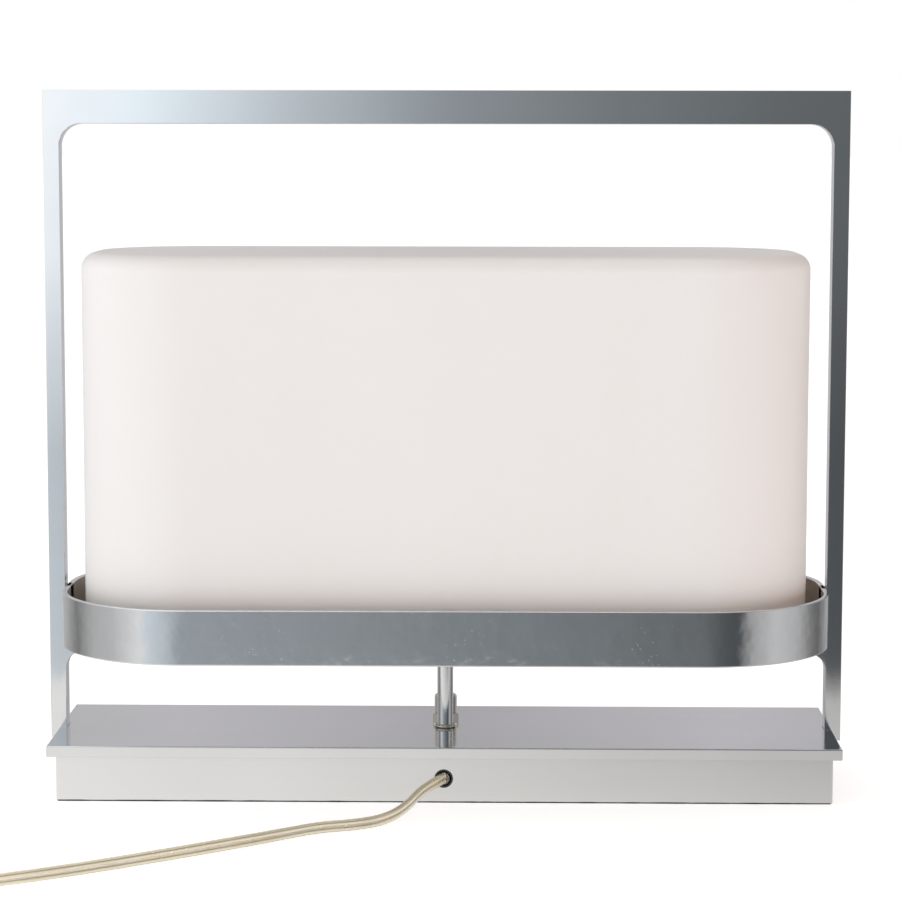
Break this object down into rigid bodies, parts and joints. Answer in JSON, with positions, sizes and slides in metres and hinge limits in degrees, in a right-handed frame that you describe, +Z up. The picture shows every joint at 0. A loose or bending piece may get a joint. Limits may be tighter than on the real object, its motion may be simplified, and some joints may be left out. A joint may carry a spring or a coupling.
{
  "type": "table lamp",
  "caption": "Table lamp: an oblong opal glass shade in a metal band, inside a rectangular flat-bar frame on a flat base, with a rotary switch and a flat twin cord.",
  "frame": {"origin": "centre of the underside of the base felt, where the lamp stands", "axes": "+X along the lamp and its frame, +Z up, -Y towards the side where the cord leaves"},
  "size_m": [0.5636, 0.3554, 0.3993],
  "materials": {
    "polished_nickel": "polished nickel plate, faint ripple",
    "skirt_nickel": "satin nickel plate",
    "zinc_steel": "zinc plated",
    "warm_nickel": "turned and plated",
    "enamel": "white enamel",
    "felt": "black felt",
    "opal_glass": "satin opal",
    "black_plastic": "moulded phenolic",
    "porcelain": "glazed porcelain",
    "brass": "bright brass",
    "bulb_frost": "frosted",
    "cap_metal": "spun",
    "lead_insulation": "insulated wire",
    "connector_plastic": "moulded",
    "clear_cord": "translucent twin cord",
    "plug_plastic": "translucent moulded plug"
  },
  "bodies": {
    "lamp": {"base_felt": "felt", "base_plate": "polished_nickel", "base_skirt": "skirt_nickel", "bottom_cover": "zinc_steel", "centre_tube": "polished_nickel", "cord_clamp": "zinc_steel", "cord_coil": "clear_cord", "cord_end": "clear_cord", "cord_inside": "clear_cord", "cord_liner": "black_plastic", "cord_run": "clear_cord", "cover_posts": "zinc_steel", "cover_screws": "zinc_steel", "crossbar": "polished_nickel", "crossbar_gusset_left": "polished_nickel", "crossbar_gusset_right": "polished_nickel", "lamp_pipe": "zinc_steel", "pipe_lower_nut": "zinc_steel", "pipe_upper_nut": "zinc_steel", "pipe_washer": "zinc_steel", "plug_blades": "brass", "plug_body": "plug_plastic", "screw_shell_left": "brass", "screw_shell_right": "brass", "shade_band": "polished_nickel", "shade_clips": "enamel", "shade_gasket": "felt", "shade_ledge": "enamel", "socket_body_left": "porcelain", "socket_body_right": "porcelain", "socket_contact_left": "brass", "socket_contact_right": "brass", "socket_lead_left": "lead_insulation", "socket_lead_right": "lead_insulation", "socket_nipple_left": "zinc_steel", "socket_nipple_right": "zinc_steel", "socket_strap": "enamel", "switch_body": "black_plastic", "switch_bushing": "warm_nickel", "switch_leads": "lead_insulation", "switch_nut": "warm_nickel", "top_bar": "polished_nickel", "top_corner_left": "polished_nickel", "top_corner_right": "polished_nickel", "tube_collar": "warm_nickel", "upright_left": "polished_nickel", "upright_right": "polished_nickel", "wire_connectors": "connector_plastic"},
    "shade": {"glass_shade": "opal_glass"},
    "knob": {"switch_knob": "warm_nickel", "switch_shaft": "warm_nickel"},
    "bulb_left": {"bulb_glass_left": "bulb_frost", "bulb_cap_left": "cap_metal"},
    "bulb_right": {"bulb_glass_right": "bulb_frost", "bulb_cap_right": "cap_metal"}
  },
  "joints": [
    {"name": "shade_lift", "type": "slide", "parent": "lamp", "child": "shade", "axis": [0, 0, 1], "range_m": [0, 0.06]},
    {"name": "switch_turn", "type": "hinge", "parent": "lamp", "child": "knob", "pos_m": [0, 0.017, 0.04], "axis": [0, 0, 1], "continuous": true},
    {"name": "bulb_left_lift", "type": "slide", "parent": "lamp", "child": "bulb_left", "axis": [0, 0, 1], "range_m": [0, 0.03]},
    {"name": "bulb_right_lift", "type": "slide", "parent": "lamp", "child": "bulb_right", "axis": [0, 0, 1], "range_m": [0, 0.03]}
  ]
}
